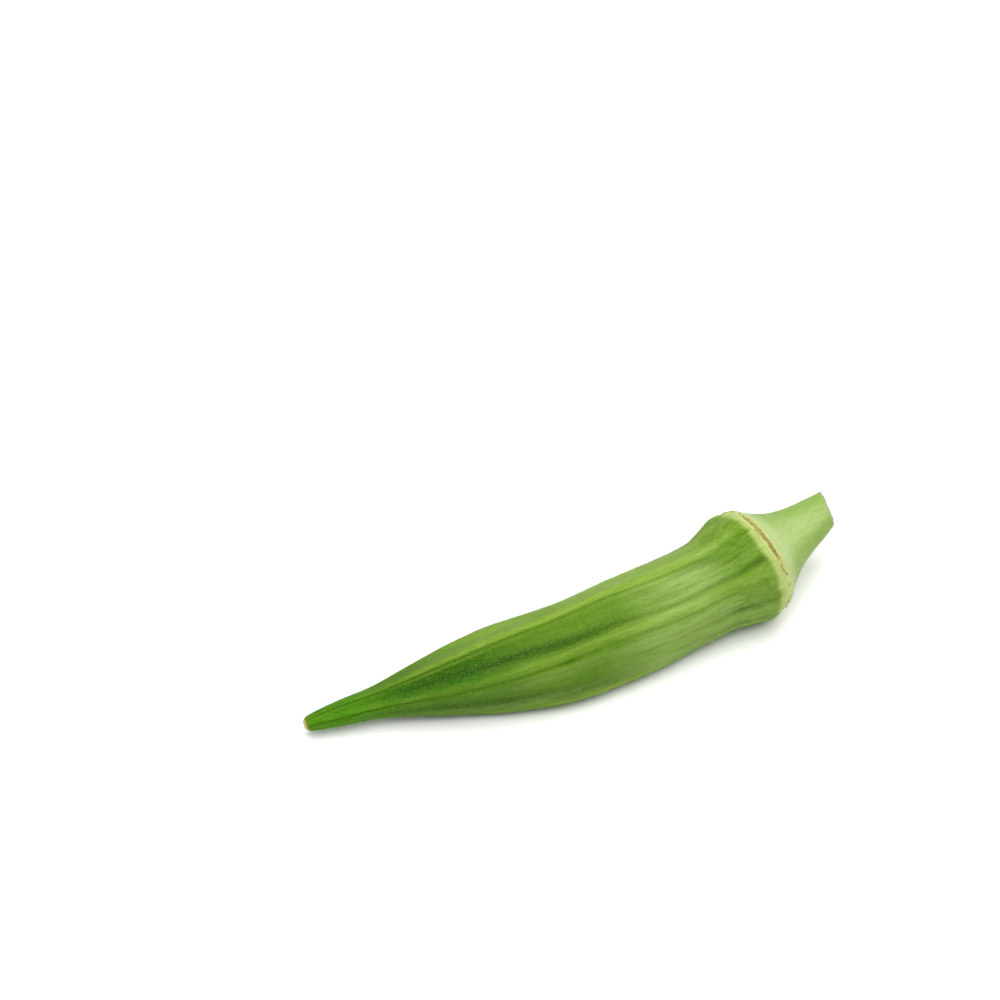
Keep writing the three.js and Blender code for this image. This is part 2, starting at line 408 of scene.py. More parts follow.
def strip_mesh(name, points):
    """Closed thin strips. The points' axes are strip, place along, place across and side."""
    count, *shape = points.shape[:-1]
    index = np.arange(np.prod(shape)).reshape(shape)
    top, under = index[..., 0], index[..., 1]
    walls = (index[:, 0].T, index[:, -1], index[0], index[-1].T)
    faces = np.concatenate([quads_over(side) for side in (top, under.T, *walls)])
    return fill_mesh(name, points, faces + (np.arange(count) * index.size)[:, None, None])


def store(piece, poles, **fields):
    """Stores three numbers for each vertex under each name, for the material to read. A pole
    gets the mean of its ring."""
    for name, values in fields.items():
        if isinstance(values, tuple):
            values = np.stack(values, -1)
        ends = [values[0].mean(0), values[-1].mean(0)] if poles else []
        flat = np.vstack([values.reshape(-1, 3), *ends]).astype(np.float32)
        stored = piece.data.attributes.new(name, "FLOAT_VECTOR", "POINT")
        stored.data.foreach_set("vector", flat.ravel())


def unrolled(along, angle, radius):
    """Place on the pod drawn out straight, in millimetres, so that a pattern follows the bend:
    the distance along, and the radius times the cosine and the sine of the angle."""
    return np.stack([along, radius * np.cos(angle), radius * np.sin(angle)], -1)


def finish_piece(piece, slot, node, *materials):
    """Materials, body and CAD node of a finished piece. The slot is not used."""
    for material in materials:
        piece.data.materials.append(material)
    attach(piece, BODY)
    if node:
        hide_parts(node)


# ---- Materials, with the gaps and heights of their patterns in millimetres ----

FIBRE_GAPS = (9, 0.6, 0.6)
BROAD_FIBRE_GAPS = (22, 1.6, 1.6)
BLOTCH_GAPS = (9, 3.5, 3.5)
WARM_GAPS = (6, 2.4, 2.4)
GRAIN_GAPS = (0.5, 0.32, 0.32)
SPECKLE_GAP = 0.62
SKIN_RELIEF = 0.09
PIMPLE_HEIGHT = 0.035
CAP_RELIEF = 0.07
PORE_GAP = 0.22
PORE_DEPTH = 0.08
CRUMB_HEIGHT = 0.1


def linear(hex_colour):
    """Linear RGBA of an sRGB hex colour such as 6F9C38."""
    channels = np.array([int(hex_colour[i : i + 2], 16) for i in (0, 2, 4)]) / 255
    curved = np.where(channels <= 0.04045, channels / 12.92, ((channels + 0.055) / 1.055) ** 2.4)
    return (*curved, 1.0)


def tint(name, description, hex_colour):
    """Colour setting with an sRGB hex default."""
    return FloatVectorProperty(
        name=name, description=description, subtype="COLOR", size=4, min=0, max=1,
        default=linear(hex_colour),
    )


def add_node(tree, kind, *values, out=0, inputs=None, **settings):
    """Adds a node with its settings and gives one of its outputs. The values go to its inputs in
    order, and the rest by name or number. Another node's output is linked."""
    node = tree.nodes.new("ShaderNode" + kind)
    for name, value in settings.items():
        setattr(node, name, value)
    for name, value in {**dict(enumerate(values)), **(inputs or {})}.items():
        if isinstance(value, bpy.types.NodeSocket):
            tree.links.new(value, node.inputs[name])
        else:
            node.inputs[name].default_value = value
    return node.outputs[out] if node.outputs else None


def new_material(name, hex_preview):
    """Empty material and its tree. The preview colour is what a plain view shows."""
    material = bpy.data.materials.new(name)
    material.use_nodes = True
    material.diffuse_color = linear(hex_preview)
    material.node_tree.nodes.clear()
    return material, material.node_tree


def field(tree, name):
    """A stored field, and then its three separate numbers."""
    whole = add_node(tree, "Attribute", out="Vector", attribute_type="GEOMETRY", attribute_name=name)
    return whole, *add_node(tree, "SeparateXYZ", whole).node.outputs


def product(tree, *factors):
    """Product of the factors. One that is written (value, low, high, first, last) goes smoothly
    from first to last, or from 0 to 1 without these, as the value goes from low to high."""
    result = None
    for factor in factors:
        if isinstance(factor, tuple):
            value, low, high, *ends = factor
            ends = ends or (0, 1)
            step = {"interpolation_type": "SMOOTHSTEP"}
            factor = add_node(tree, "MapRange", value, low, high, *ends, **step)
        if result is None:
            result = factor
        else:
            result = add_node(tree, "Math", result, factor, operation="MULTIPLY")
    return result


def weighted(tree, start, *terms):
    """The start, plus the value times the weight of each (value, weight) term."""
    for value, weight in terms:
        start = add_node(tree, "Math", value, weight, start, operation="MULTIPLY_ADD")
    return start


def painted(tree, base, *coats):
    """Base colour under coats, one over the other. Each coat is written (colour, factors...), and
    covers with the product of its factors, from 0 not at all to 1 fully."""
    for coat, *factors in coats:
        inputs = {0: product(tree, *factors), 6: base, 7: coat}
        base = add_node(tree, "Mix", out=2, inputs=inputs, data_type="RGBA")
    return base


def grown_noise(tree, place, gaps, detail=2.0, roughness=0.5):
    """Noise whose grain has the given gaps in millimetres along X, Y and Z of the place."""
    mapped = add_node(tree, "Mapping", place, inputs={"Scale": tuple(1 / gap for gap in gaps)})
    inputs = {"Vector": mapped, "Scale": 1.0, "Detail": detail, "Roughness": roughness}
    return add_node(tree, "TexNoise", inputs=inputs)


def close_material(tree, colour, roughness, bumps, inputs):
    """Puts a Principled shader on the surface, with a relief for each (height, millimetres)."""
    normal = {}
    for height, depth in bumps:
        relief = {"Height": height, "Distance": depth * MM, **normal}
        normal = {"Normal": add_node(tree, "Bump", inputs=relief)}
    inputs = {"Base Color": colour, "Roughness": roughness, **normal, **inputs}
    add_node(tree, "OutputMaterial", add_node(tree, "BsdfPrincipled", inputs=inputs))


def living_skin():
    """Living okra skin: a leaf-green rind with a thin wax bloom and short hairs, as it grew. The
    eye gets a soft, low gloss, pale lengthwise ridges with a painted highlight on their lit flank,
    darker valleys and grooves whose dark is painted shade, and a fine pale speckle."""
    hues = bpy.context.scene.okra_pod
    material, tree = new_material("okra_skin_living", "6F9C38")
    place = field(tree, "unrolled")[0]
    _, tip, shoulder, rim = field(tree, "growth")
    _, crest, groove, dry = field(tree, "form")
    _, valley_shade, deep_green_and_shade, collar = field(tree, "tone")
    _, dark_mark, pale_mark, _ = field(tree, "streak")
    fibres = grown_noise(tree, place, FIBRE_GAPS, 3, 0.65)
    broad_fibres = grown_noise(tree, place, BROAD_FIBRE_GAPS, 3)
    blotches = grown_noise(tree, place, BLOTCH_GAPS, 3)
    warm_patches = grown_noise(tree, place, WARM_GAPS, 3, 0.6)
    grain = grown_noise(tree, place, GRAIN_GAPS)
    speckle = add_node(tree, "TexVoronoi", inputs={"Vector": place, "Scale": 1 / SPECKLE_GAP})
    streaks = weighted(tree, 0, (fibres, 0.4), (broad_fibres, 0.6))
    dryness = weighted(tree, dry, (grain, 0.5))
    line_depth = weighted(tree, 0.17, (tip, 0.33))
    # Where the grooves take painted crease shade: along the deep green stretch and by the tip.
    shaded = add_node(tree, "Math", deep_green_and_shade, product(tree, tip, 0.8), operation="MAXIMUM")
    colour = painted(
        tree, hues.face,
        (hues.face_light, (blotches, 0.3, 0.7)),
        (hues.shoulder, shoulder, (streaks, 0.36, 0.62, 0.55, 1)),
        # Deep green of the narrowing part, with painted shade in its valleys.
        (hues.deep_green_and_shade, deep_green_and_shade, 0.85),
        (hues.tip, tip),
        (hues.warm, (warm_patches, 0.48, 0.66), 0.3),
        (hues.collar, collar, (streaks, 0.35, 0.6, 1, 0.6)),
        # Painted shade down the valley between two ridges.
        (hues.hollow, valley_shade, (broad_fibres, 0.3, 0.7, 1, 0.7)),
        # Ridge yellow-green with a painted highlight on the lit flank of each ridge, and painted
        # light on some facets.
        (hues.crest, crest, (streaks, 0.3, 0.6, 0.6, 1)),
        (hues.hollow, (fibres, 0.5, 0.34), line_depth),
        (hues.haze, pale_mark, (fibres, 0.35, 0.6, 0.45, 1)),
        (hues.hollow, dark_mark),
        # Groove line: dark green painted crease shade where the pod narrows and by the tip, and the
        # groove's own clear green past the middle.
        (painted(tree, hues.vein, (hues.groove_shade, shaded)), groove, 0.9),
        (hues.speckle, (speckle, 0.28, 0.08), 0.35),
        (hues.speckle, (grain, 0.45, 0.7), 0.2),
        (hues.rim, rim, (fibres, 0.3, 0.55, 0.65, 1)),
        (hues.cork, rim, (grain, 0.5, 0.68), 0.5),
        (hues.withered, (dryness, 0.45, 0.95), 0.7),
        (hues.dry, (dryness, 0.95, 1.15)),
    )
    height = product(tree, weighted(tree, 0, (grain, 0.4), (fibres, 0.6)), (rim, 0, 1, 1, 0.3))
    roughness = product(tree, (blotches, 0.3, 0.7, 0.46, 0.6))
    bumps = (height, SKIN_RELIEF), (product(tree, (speckle, 0.34, 0)), PIMPLE_HEIGHT)
    close_material(tree, colour, roughness, bumps, {
        "Specular IOR Level": 0.04,
        "Subsurface Weight": 0.1,
        "Subsurface Radius": (0.6, 0.7, 0.1),
        "Subsurface Scale": 0.6 * MM,
    })
    return material


def cap_rind():
    """Cap rind: the smooth, paler flesh of the flower's base, grown under the sepals. The eye
    gets a pale yellow-green with a whitish bloom by the scar and faint fibres to the stalk. A
    whitish band down the side facing the camera is a painted highlight, and the greener flanks
    beside it are painted shade."""
    hues = bpy.context.scene.okra_cap
    material, tree = new_material("okra_cap_rind", "A9CB6C")
    place = field(tree, "unrolled")[0]
    _, stalk, _, shaded_flank = field(tree, "growth")
    fibres = grown_noise(tree, place, (9, 0.5, 0.5), 3, 0.6)
    clouds = grown_noise(tree, place, (5, 3, 3), 3)
    grain = grown_noise(tree, place, (0.4, 0.3, 0.3))
    colour = painted(
        tree, hues.bloom,
        # The bloom underneath shows in the pale bands as a painted highlight. The green flanks over
        # it are painted shade, broken up by clouds.
        (hues.rind, (weighted(tree, shaded_flank, (clouds, 0.4)), 0.1, 1.1)),
        (hues.stalk, stalk, 0.4),
        (hues.stalk, (fibres, 0.5, 0.36), 0.25),
        (hues.bloom, (fibres, 0.55, 0.7), 0.25),
        (hues.frost, (stalk, 0.2, 0.03), 0.6),
        (hues.edge, (stalk, 0.06, 0), 0.8),
    )
    height = weighted(tree, 0, (grain, 0.3), (fibres, 0.7))
    roughness = product(tree, (clouds, 0.3, 0.7, 0.5, 0.62))
    close_material(tree, colour, roughness, [(height, CAP_RELIEF)], {
        "Specular IOR Level": 0.1,
        "Subsurface Weight": 0.15,
        "Subsurface Radius": (0.6, 0.8, 0.3),
        "Subsurface Scale": 0.8 * MM,
        "Sheen Weight": 0.05,
        "Sheen Roughness": 0.45,
        "Sheen Tint": linear("EEF5D8"),
    })
    return material


def cut_fibre():
    """Cut stalk: a knife cut a day or two old, so a moist green rim has dried to straw with a
    ring of cut fibre ends round a pale, spongy pith. The eye gets a dull, open-pored disc."""
    hues = bpy.context.scene.okra_cap
    material, tree = new_material("okra_stalk_cut", "C9BE86")
    place = field(tree, "unrolled")[0]
    share = field(tree, "disc")[1]
    pores = add_node(tree, "TexVoronoi", inputs={"Vector": place, "Scale": 1 / PORE_GAP})
    clouds = grown_noise(tree, place, (1, 0.9, 0.9), 3)
    colour = painted(
        tree, hues.pith,
        (hues.fibre, (share, 0.3, 0.6)),
        (hues.stalk, (share, 0.8, 0.98)),
        (hues.stain, (clouds, 0.5, 0.7), 0.6),
        (hues.stain, (pores, 0.3, 0.1), 0.55),
    )
    bumps = [(product(tree, (pores, 0, 0.35)), PORE_DEPTH)]
    close_material(tree, colour, 0.85, bumps, {"IOR": 1.4})
    return material


def dry_sepal_scar():
    """Abscission scar: dead, corky tissue left where the sepals dropped. The eye gets a cream
    collar with a thin, torn brown line along its top, broken where the tissue stayed pale."""
    hues = bpy.context.scene.okra_scar
    material, tree = new_material("okra_sepal_scar", "B5B578")
    place = field(tree, "unrolled")[0]
    _, off_line, shade, _ = field(tree, "rag")
    patches = grown_noise(tree, place, (0.9, 1.5, 1.5), 3, 0.6)
    grain = grown_noise(tree, place, (0.22, 0.3, 0.3), 3, 0.7)
    wander = weighted(tree, off_line, (grain, 0.5))
    present = weighted(tree, shade, (patches, 0.9))
    brown = painted(tree, hues.brown, (hues.dark, (grain, 0.4, 0.65)))
    colour = painted(
        tree, hues.living_edge,
        (hues.straw, (patches, 0.35, 0.65)),
        (hues.tan, (grain, 0.5, 0.7), 0.3),
        (hues.tan, (wander, 0.85, 0.4), (shade, 0.15, 0.7)),
        (brown, (wander, 0.56, 0.32), (present, 0.88, 1.35)),
    )
    close_material(tree, colour, 0.85, [(grain, CRUMB_HEIGHT)], {"IOR": 1.35})
    return material


def hair_fuzz():
    """Plant hairs: single, clear cells with thin walls, as they grew. The eye gets a pale haze
    that is brightest along the outline. The tone follows the hair's own map, root to tip."""
    hues = bpy.context.scene.okra_fuzz
    material, tree = new_material("okra_hairs", "D5E3AE")
    own = add_node(tree, "UVMap", uv_map=OWN_MAP)
    tone, rise, _ = add_node(tree, "SeparateXYZ", own).node.outputs
    colour = painted(tree, hues.root, (hues.end, rise), (hues.end, tone, 0.35))
    close_material(tree, colour, 0.55, [], {"IOR": 1.45})
    return material


def studio_paper():
    """Seamless background paper: uncoated, matt and nearly white, with a faint fibre mottle."""
    hues = bpy.context.scene.okra_stage
    material, tree = new_material("studio_paper_white", "F5F5F5")
    place = add_node(tree, "TexCoord", out="Object")
    mottle = add_node(tree, "TexNoise", inputs={"Vector": place, "Scale": 60.0})
    colour = painted(tree, hues.paper, (hues.paper_light, mottle))
    close_material(tree, colour, 0.9, [], {"IOR": 1.3})
    return material


# ---- Pieces ----

POD_ROWS = 400
# Band on the lit flank of each ridge: partly the ridges' own yellow-green and partly a painted
# highlight, with a different strength and start on each ridge.
CREST_TINT_AND_HIGHLIGHT_PLACE = -0.05
CREST_TINT_AND_HIGHLIGHT_WIDTH = 0.11
CREST_TINT_AND_HIGHLIGHT_GAIN = (1, 0.52, 0.8, 0.7, 0.9)
CREST_TINT_AND_HIGHLIGHT_START = (8, 22, 14, 20, 12)
PALE_START = (53, 47, 46, 44, 48)
# Painted light: how much lighter each facet is made, most on the upper back facet.
PAINTED_FACET_LIGHT_GAIN = (0, 0, 0.1, 0.3, 0.75)
COLLAR_GAIN = (1, 0.55, 0.8, 0.8, 1)
# Deep green of the narrowing part on each facet, which also carries painted shade in the valleys.
DEEP_GREEN_AND_SHADE_GAIN = (1, 0.6, 0.9, 0.8, 0.55)
# Painted valley shade: its strength on each facet.
VALLEY_SHADE_GAIN = (1, 0.7, 0.8, 0.7, 0.3)
RIM_EDGE = (83.4, 84.7)
RIM_UNEVEN = 0.3
LINE_WIDTH = 0.03
TIP_LINE_WIDTH = 0.075
LINE_TONE = (
    (0, 0.45), (3, 0.9), (14, 0.95), (30, 0.85), (45, 0.8), (60, 0.6), (82, 0.45), (85, 0),
)
PAIRED_LINES = (0, 3)
PAIR_PLACE = 0.21
PAIR_LIGHT_PLACE = 0.15
PAIR_ALONG = 22
PAIR_LENGTH = 10
STREAKS = (
    (78, 1.4, 5, 0.06, -0.6), (45, 1.07, 1.6, 0.03, -0.8), (73, 0.13, 4, 0.05, -0.35),
    (82.6, 0.72, 1.8, 0.05, -0.5), (79, 0.42, 4, 0.04, -0.3), (36, 1.74, 18, 0.12, 0.3),
    (70, 0.26, 5, 0.08, 0.6), (65, 0.91, 4, 0.06, 0.55), (71, 1.3, 7, 0.07, 0.5),
    (76, -0.06, 4, 0.06, 0.4), (62, 0.38, 5, 0.05, 0.3), (74, 0.58, 4, 0.05, 0.35),
    (43, 1.22, 10, 0.08, 0.25),
    (77, 2.4, 5, 0.06, -0.5), (68, 2.7, 6, 0.07, 0.5), (58, 3.1, 5, 0.06, 0.4),
    (80, 3.5, 4, 0.06, -0.6), (70, 3.8, 5, 0.07, 0.5), (74, 4.4, 5, 0.07, 0.4),
    (50, 2.3, 6, 0.06, -0.4), (42, 3.6, 6, 0.06, -0.4),
)
POD_COLUMNS_PER_RIDGE = 46
TIP_NOSE = ((0.1, 0.14), (-0.1, 0.34), (-0.16, 0.52), (-0.1, 0.7))
TURNED_IN_PLACE = POD_LENGTH + 0.1
TURNED_IN_SHARES = (0.97, 0.5)
CAP_ROWS = 190
CAP_LIP = ((-0.5, 0.5), (-0.5, 0.955), (-0.35, 0.985), (-0.15, 0.998))
# Pale bands down the cap, as (angle, width) in degrees. The band facing the camera is a painted
# highlight and the other two lie on hidden sides. The greener flanks between the bands are painted
# shade.
CAP_HIGHLIGHT_BANDS = ((30, 34), (150, 40), (255, 36))
CAP_COLUMNS_PER_RIDGE = 34
CUT_ROWS = 26
SCAR_AROUND = 900
SCAR_ACROSS = 40
SCAR_MIDDLE = (SCAR_START + SCAR_END) / 2
SCAR_HALF_WIDTH = 0.95
SCAR_RADIUS = 9.5
SCAR_ARCH = 0.3
CREST_HEIGHT = 0.16
FLAKES = 170
FLAKE_RADIUS = 10.0
FLAKE_THICKNESS = 0.035
BROWN_STRETCHES = ((18, 30), (160, 26), (262, 30))
FUZZ_HALVES = (("fuzz_tip_half", 0.6, 47.0, 41), ("fuzz_shoulder_half", 47.0, 84.6, 42))
HAIR_FREE_HEIGHT = 0.02
HAIR_SINK = 0.03
WIDEST_POD = 10.4
HAIRS_THICKEN = (-25, 40)


line_tone = smooth_curve(LINE_TONE)
rim_noise = skin_noise(15, 6, 44)


def build_pod_skin():
    """Capsule: the skin's points on a grid of places and columns, with a small pit in the blunt
    tip, and turned in at the shoulder under the scar."""
    columns = ridge_columns(POD_COLUMNS_PER_RIDGE, 0.6)
    places = crowded(0, POD_LENGTH, POD_ROWS, 0.55)
    body = pod_skin_radius(*np.meshgrid(places, columns, indexing="ij"))
    nose_places, nose_radii = np.array(TIP_NOSE).T
    places = np.concatenate([nose_places, places, [TURNED_IN_PLACE] * len(TURNED_IN_SHARES)])
    along, column = np.meshgrid(places, columns, indexing="ij")
    nose = np.outer(nose_radii, body[0]) / POD_RADIUS[0][1]
    radius = np.vstack([nose, body, np.outer(TURNED_IN_SHARES, body[-1])])
    piece = rings_mesh("pod_skin", section_point(along, column_angle(column, along), radius))
    store_pod_fields(piece, along, column, radius)
    finish_piece(piece, "pod_skin", "pod", living_skin())


def store_pod_fields(piece, along, column, radius):
    """Fields for the skin's colours. growth: near the tip, towards the shoulder, by the rim.
    form: the ridges' yellow-green with a painted highlight on their lit flank and painted light
    on some facets, in the groove, dry tip. tone: painted shade down the valley between two
    ridges, the deep green stretch with painted shade in its valleys, the collar just before the
    rim. streak: single dark and pale ones."""
    across = column - np.floor(column)
    signed = np.where(across > 0.5, across - 1, across)
    ridge = np.round(column).astype(int) % RIDGES
    # Crest band: the ridges' yellow-green with a painted highlight on their lit flank, made stronger
    # or weaker ridge by ridge.
    gain, start = np.array(CREST_TINT_AND_HIGHLIGHT_GAIN)[ridge], np.array(CREST_TINT_AND_HIGHLIGHT_START)[ridge]
    on_ridge = smooth_step(0, 32, along - start) * (1 - 0.35 * smooth_step(64, 84, along))
    crest = bump(signed, CREST_TINT_AND_HIGHLIGHT_PLACE, CREST_TINT_AND_HIGHLIGHT_WIDTH) * on_ridge * gain
    # Painted light: whole facets made lighter, most on the upper back facet. It fades in past the
    # narrowing part and halves towards the shoulder.
    painted_facet_light = smooth_step(16, 36, along) * (1 - 0.5 * smooth_step(58, 74, along))
    crest = np.maximum(crest, painted_facet_light * by_facet(column, PAINTED_FACET_LIGHT_GAIN))
    paired = np.isin(np.floor(column).astype(int) % RIDGES, PAIRED_LINES)
    paired = paired * bump(along, PAIR_ALONG, PAIR_LENGTH)
    crest += 0.3 * paired * bump(across, PAIR_LIGHT_PLACE, LINE_WIDTH)
    line_width = LINE_WIDTH + (TIP_LINE_WIDTH - LINE_WIDTH) * (1 - smooth_step(3, 26, along))
    groove = line_tone(along) * bump(across, GROOVE_PLACE, line_width)
    groove += 0.35 * paired * bump(across, PAIR_PLACE, 0.7 * LINE_WIDTH)
    dry = 1 - smooth_step(-0.2, 1.5, along)
    tip = 1 - smooth_step(6, 20, along)
    shoulder = smooth_step(0, 15, along - by_facet(column, PALE_START))
    uneven = RIM_UNEVEN * rim_noise(along / POD_LENGTH, column / RIDGES)
    rim = smooth_step(*RIM_EDGE, along + uneven)
    # Painted shade: a dark streak down the valley between two ridges, narrower towards the shoulder.
    valley_shade_width = 0.17 - 0.11 * smooth_step(50, 66, along)
    valley_shade = bump(across, valley_shade_place(along), valley_shade_width) * valley_shade_strength(along)
    valley_shade *= by_facet(column, VALLEY_SHADE_GAIN)
    # Deep green of the narrowing part, made darker away from the crests as painted valley shade.
    deep_green_and_shade = smooth_step(5, 16, along) * (1 - smooth_step(26, 44, along))
    deep_green_and_shade *= 0.4 + 0.6 * smooth_step(0.1, 0.5, off_crest(column))
    deep_green_and_shade *= by_facet(column, DEEP_GREEN_AND_SHADE_GAIN)
    collar = smooth_step(70, 81, along) * by_facet(column, COLLAR_GAIN)
    marks = np.zeros((2, *along.shape))
    for place, at_column, length, width, tone in STREAKS:
        off = (column - at_column + RIDGES / 2) % RIDGES - RIDGES / 2
        marks[int(tone > 0)] += abs(tone) * bump(along, place, length) * bump(off, 0, width)
    form, tone = (crest, groove, dry), (valley_shade, deep_green_and_shade, collar)
    flat = unrolled(along, TURN * column / RIDGES, radius)
    growth, streak = (tip, shoulder, rim), (*marks, 0 * along)
    store(piece, True, unrolled=flat, growth=growth, form=form, tone=tone, streak=streak)


def build_cap_skin():
    """Cap and stalk: a rounded lip at the shelf, the flaring skin to the cut, and the cut disc,
    whose height goes in and out with the share of the radius: fibres raised, pith sunk."""
    columns = ridge_columns(CAP_COLUMNS_PER_RIDGE, 0.3)
    places = crowded(CAP_SHELF, STALK_END - 0.15, CAP_ROWS, 0.5)
    lip_places, lip_shares = np.array(CAP_LIP).T
    rows = np.concatenate([CAP_SHELF + lip_places, places])
    skin_along = np.broadcast_to(rows[:, None], (len(rows), len(columns)))
    body = cap_skin_radius(*np.meshgrid(places, columns, indexing="ij"))
    share = np.linspace(0.97, 0.04, CUT_ROWS)
    fibre_noise = skin_noise(23, 10, 60)(1 - share[:, None], columns[None] / RIDGES)
    raised = 0.14 * bump(share, 0.66, 0.12)[:, None] * (1 + fibre_noise)
    sunk = 0.42 * (1 - smooth_step(0.3, 0.5, share))[:, None]
    along = np.vstack([skin_along, STALK_END + raised - sunk + 0.05 * fibre_noise])
    radius = np.vstack([np.outer(lip_shares, body[0]), body, np.outer(share, body[-1])])
    column = np.broadcast_to(columns, along.shape)
    angle = column_angle(column, along)
    on_cut = np.where(along > STALK_END - 1, np.minimum(radius / body[-1], 1), 1)
    reach = cut_reach(along, angle) * on_cut
    piece = rings_mesh("cap_skin", section_point(along + reach, angle, radius))
    # 1 on the greener flanks, which are painted shade, falling to 0 in the pale bands, which are
    # painted highlight.
    shaded_flank = np.ones_like(along)
    for middle, width in CAP_HIGHLIGHT_BANDS:
        shaded_flank -= bump(degrees_off(angle, middle), 0, width)
    on_disc = np.zeros_like(along)
    on_disc[-CUT_ROWS:] = share[:, None]
    flat = unrolled(along, TURN * column / RIDGES, radius)
    growth = (np.clip(cap_share(along), 0, 1), off_crest(column), shaded_flank)
    store(piece, True, unrolled=flat, growth=growth, disc=(on_disc,) * 3)
    finish_piece(piece, "cap_skin", "cap_stem", cap_rind(), cut_fibre())
    faces = (len(along) - 1) * len(columns)
    slots = np.zeros(len(piece.data.polygons), np.int32)
    slots[faces - CUT_ROWS * len(columns) : faces] = 1
    slots[-len(columns) :] = 1
    piece.data.polygons.foreach_set("material_index", slots)


def brown_share(angle):
    """1 in the stretches of the ring that dried brown, fading as bell curves to 0 outside."""
    bells = [bump(degrees_off(angle, middle), 0, width) for middle, width in BROWN_STRETCHES]
    return np.max(bells, axis=0) ** 0.5


def build_scar_band():
    """Scar band: a low collar that closes the joint between capsule and cap. Across it, the
    surface is a flat arch. A narrow crest along its middle is torn by fine noise, and it wanders
    a little to either side as it goes round."""
    angles = np.linspace(0, TURN, SCAR_AROUND, endpoint=False)
    girths = np.linspace(0, TURN, SCAR_ACROSS, endpoint=False)
    angle, girth = np.meshgrid(angles, girths, indexing="ij")
    turn, level = angle / TURN, 0 * angle
    across = np.cos(girth)
    upper = np.maximum(np.sin(girth), 0)
    wander = 0.22 * skin_noise(31, 1, 30)(level, turn)
    line = bump(across, wander, 0.3) * (upper > 0)
    tear = 0.6 + 0.4 * skin_noise(32, 1, 170)(level, turn)
    crumb = skin_noise(33, 10, 420)(girth / TURN, turn)
    swell = 0.04 * skin_noise(37, 1, 24)(level, turn)
    radius = SCAR_RADIUS + 0.12 * np.sin(girth) + SCAR_ARCH * upper**0.5 + swell * upper
    radius += line * (CREST_HEIGHT * tear + 0.05 * crumb) - 0.3 * (np.sin(girth) < -0.01)
    along = SCAR_MIDDLE + SCAR_HALF_WIDTH * across
    piece = band_mesh("scar_band", section_point(along, angle, radius))
    shade = brown_share(angle) * (0.75 + 0.25 * skin_noise(34, 1, 60)(level, turn))
    rag = (np.abs(across - wander), shade, level)
    store(piece, False, unrolled=unrolled(along, angle, radius), rag=rag)
    finish_piece(piece, "dry_scar", "calyx_scar", dry_sepal_scar())


def build_scar_flakes():
    """Scar flakes: thin curled chips of dead sepal base, thicker where they join. Each is a
    closed strip, three points wide and four long, laid on the band and tipped up at one end."""
    rng = np.random.default_rng(35)
    turn = np.sort(rng.uniform(0, TURN, FLAKES))
    turn = turn[rng.uniform(0, 1.1, FLAKES) < brown_share(turn)][:, None, None, None]
    ranges = ((0.18, 0.4), (-0.5, 0.5), (0.05, 0.3), (-0.22, 0.22), (0.3, 1))
    size, lean, lift, shift, tone = (rng.uniform(*ends, turn.shape) for ends in ranges)
    s = np.linspace(-1, 1, 4)[:, None, None]
    w = np.linspace(-1, 1, 3)[:, None]
    side = np.array([1, -1])
    raised = (s + 1) / 2
    across = size * 0.45 * (1 - 0.45 * raised) * w
    along = SCAR_MIDDLE + shift + across * np.cos(lean) - 0.5 * size * s * np.sin(lean)
    arc = size * s * np.cos(lean) + across * np.sin(lean)
    thick = FLAKE_THICKNESS * (1.15 - 0.5 * raised)
    radius = FLAKE_RADIUS + 0.6 * lift * raised**2 - 0.1 * w**2 * size + thick * side
    along, angle, radius = np.broadcast_arrays(along, turn + arc / FLAKE_RADIUS, radius)
    piece = strip_mesh("scar_flakes", section_point(along, angle, radius))
    rag = (0 * radius, 0 * radius + tone + 0.5, 0 * radius)
    store(piece, False, unrolled=unrolled(along, angle, radius), rag=rag)
    finish_piece(piece, "dry_scar", None, piece_material("okra_sepal_scar"))


def piece_material(name):
    """A material that an earlier piece has already made."""
    material = bpy.data.materials.get(name)
    if material is None:
        raise RuntimeError(f"{name} isn't made yet: grow the piece that carries it first")
    return material


def skin_frame(surface, along, column, step=0.02):
    """Point, outward normal and direction towards the tip of a skin, from small steps on it."""
    ahead = surface(along + step, column) - surface(along - step, column)
    round_it = surface(along, column + step / 20) - surface(along, column - step / 20)
    return surface(along, column), unit(np.cross(round_it, ahead)), -unit(ahead)


def hair_mesh(name, root, normal, towards_tip, length, width, rng):
    """Hairs: each is a closed spike of four triangles, a small triangle at the root and a point
    at the end. It leans towards the pod's tip and a little at random."""
    count = len(root)
    side = np.cross(normal, towards_tip)
    lean = rng.normal(0.55, 0.3, count)[:, None]
    stray = rng.normal(0, 0.35, count)[:, None]
    way = unit(normal + lean * towards_tip + stray * side)
    spin = rng.uniform(0, TURN, count)[:, None] + np.arange(3) * TURN / 3
    flat = towards_tip[:, None] * np.cos(spin)[..., None] + side[:, None] * np.sin(spin)[..., None]
    base = root[:, None] - HAIR_SINK * normal[:, None] + width[:, None, None] * flat
    end = root + way * length[:, None]
    end[:, 2] = np.maximum(end[:, 2], 0.01)
    base[..., 2] = np.maximum(base[..., 2], 0.0)
    points = np.concatenate([base, end[:, None]], 1)
    faces = np.array([(0, 2, 1), (0, 1, 3), (1, 2, 3), (2, 0, 3)])
    first = base[:, 0]
    turned = np.linalg.det(np.stack([base[:, 1] - first, base[:, 2] - first, end - first], 1))
    start = 4 * np.arange(count)[:, None, None]
    corners = faces + start
    corners[turned < 0] = corners[turned < 0][:, :, ::-1]
    piece = fill_mesh(name, points, corners)
    tone = rng.uniform(0, 1, count)[:, None, None]
    rise = np.where(corners - start == 3, 0.98, 0.02)
    places = np.stack([np.broadcast_to(0.05 + 0.9 * tone, rise.shape), rise], -1)
    bake_map(piece, places)
    return piece


